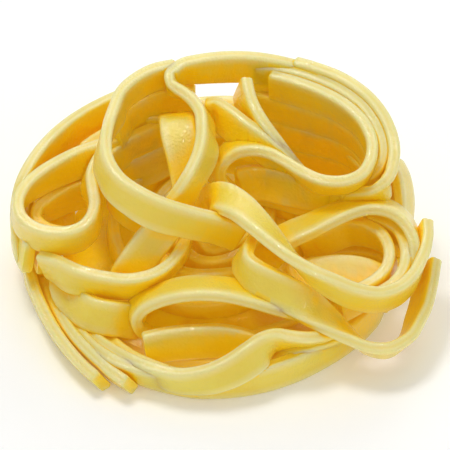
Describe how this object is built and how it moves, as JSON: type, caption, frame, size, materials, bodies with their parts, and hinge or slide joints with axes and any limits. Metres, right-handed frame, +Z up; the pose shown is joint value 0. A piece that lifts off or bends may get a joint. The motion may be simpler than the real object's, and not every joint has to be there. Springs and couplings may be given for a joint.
{
  "type": "ribbon pasta nest",
  "caption": "Round nest of broad flat egg pasta ribbons in loops, coils and folds, glossy as if fresh, with open hollows between the turns and a flat foot",
  "frame": {"origin": "under the middle of the nest, on the plane it rests on", "axes": "+Z up out of the nest, -Y towards the side that shows best, +X to the right as seen from that side"},
  "size_m": [0.0734, 0.068, 0.0335],
  "materials": {
    "cooked_egg_pasta": "satin, slightly wet"
  },
  "bodies": {
    "root": {"pasta_nest": "cooked_egg_pasta"}
  },
  "joints": []
}
